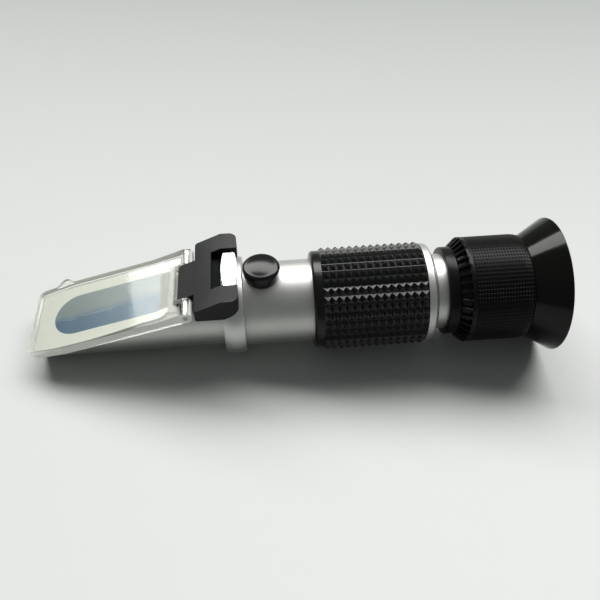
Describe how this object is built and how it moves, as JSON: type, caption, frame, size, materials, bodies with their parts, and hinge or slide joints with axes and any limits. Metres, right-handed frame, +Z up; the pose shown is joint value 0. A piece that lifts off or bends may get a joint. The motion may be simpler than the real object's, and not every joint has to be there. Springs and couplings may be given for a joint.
{
  "type": "handheld refractometer",
  "caption": "Handheld refractometer for sugar readings: sloping blue prism under a hinged clear plate, capped calibration screw, rubber-gripped tube, turning focus eyepiece with flared eyecup.",
  "frame": {"origin": "on the optical axis, in the middle of the bare stretch of the main tube", "axes": "+X along the optical axis towards the eye, +Z up on the side of the cover plate, Y across"},
  "size_m": [0.1567, 0.0412, 0.0412],
  "materials": {
    "satin_metal": "satin anodised",
    "bright_metal": "polished",
    "black_bracket": "matte moulded",
    "focus_black": "semi-gloss moulded",
    "black_rubber": "matte moulded rubber",
    "clear_cover": "clear acrylic",
    "prism_glass": "polished blue optical glass",
    "lens_glass": "polished",
    "cream_bed": "cast cement",
    "steel": "turned steel",
    "brass": "turned brass",
    "black_metal": "matt black anodised"
  },
  "bodies": {
    "root": {"prism_box": "satin_metal", "main_prism": "prism_glass", "prism_bed": "cream_bed", "prism_seal": "black_rubber", "coupling_ring": "bright_metal", "hinge_bracket": "black_bracket", "bracket_screws": "steel", "hinge_pin": "steel", "main_tube": "satin_metal", "field_stop": "black_metal", "calibration_bush": "brass", "carrier_guide": "brass", "reticle_mount": "black_metal", "reticle": "lens_glass", "reticle_ring": "black_metal", "grip_sleeve": "black_rubber", "end_ring": "bright_metal", "eyepiece_tube": "satin_metal", "wiper_ring": "black_rubber", "key_screw": "steel"},
    "cover": {"daylight_plate": "clear_cover"},
    "cap": {"calibration_cap": "black_rubber"},
    "screw": {"calibration_screw": "steel", "screw_clip": "steel"},
    "carriage": {"objective_carrier": "brass", "bimetal_strip": "steel", "strip_screws": "steel", "objective_cell": "black_metal", "objective_lens": "lens_glass", "objective_ring": "black_metal"},
    "ocular": {"ocular_barrel": "black_metal", "field_lens": "lens_glass", "lens_spacer": "black_metal", "eye_lens": "lens_glass", "eye_lens_ring": "black_metal"},
    "focus": {"focus_ring": "focus_black", "ocular_retainer": "black_metal", "focus_sleeve": "black_rubber", "eyecup": "black_rubber"}
  },
  "joints": [
    {"name": "cover_hinge", "type": "hinge", "parent": "root", "child": "cover", "pos_m": [-0.0265, 0, 0.01], "axis": [0, 1, 0], "range_deg": [0, 110]},
    {"name": "cap_pull", "type": "slide", "parent": "root", "child": "cap", "axis": [0, 0, 1], "range_m": [0, 0.012]},
    {"name": "carriage_slide", "type": "slide", "parent": "root", "child": "carriage", "axis": [0, 0, 1], "range_m": [-0.0004, 0.0004]},
    {"name": "screw_turn", "type": "hinge", "parent": "root", "child": "screw", "pos_m": [-0.0045, 0, 0.012], "axis": [0, 0, 1], "range_deg": [-361, 361]},
    {"name": "ocular_slide", "type": "slide", "parent": "root", "child": "ocular", "axis": [1, 0, 0], "range_m": [-0.00208, 0.00292]},
    {"name": "focus_turn", "type": "hinge", "parent": "ocular", "child": "focus", "pos_m": [0.06, 0, 0], "axis": [1, 0, 0], "range_deg": [-151, 211]}
  ],
  "couplings": [
    {"joint": "screw_turn", "follows": "carriage_slide", "rad_per_m": -15708},
    {"joint": "focus_turn", "follows": "ocular_slide", "rad_per_m": 1256.6}
  ]
}
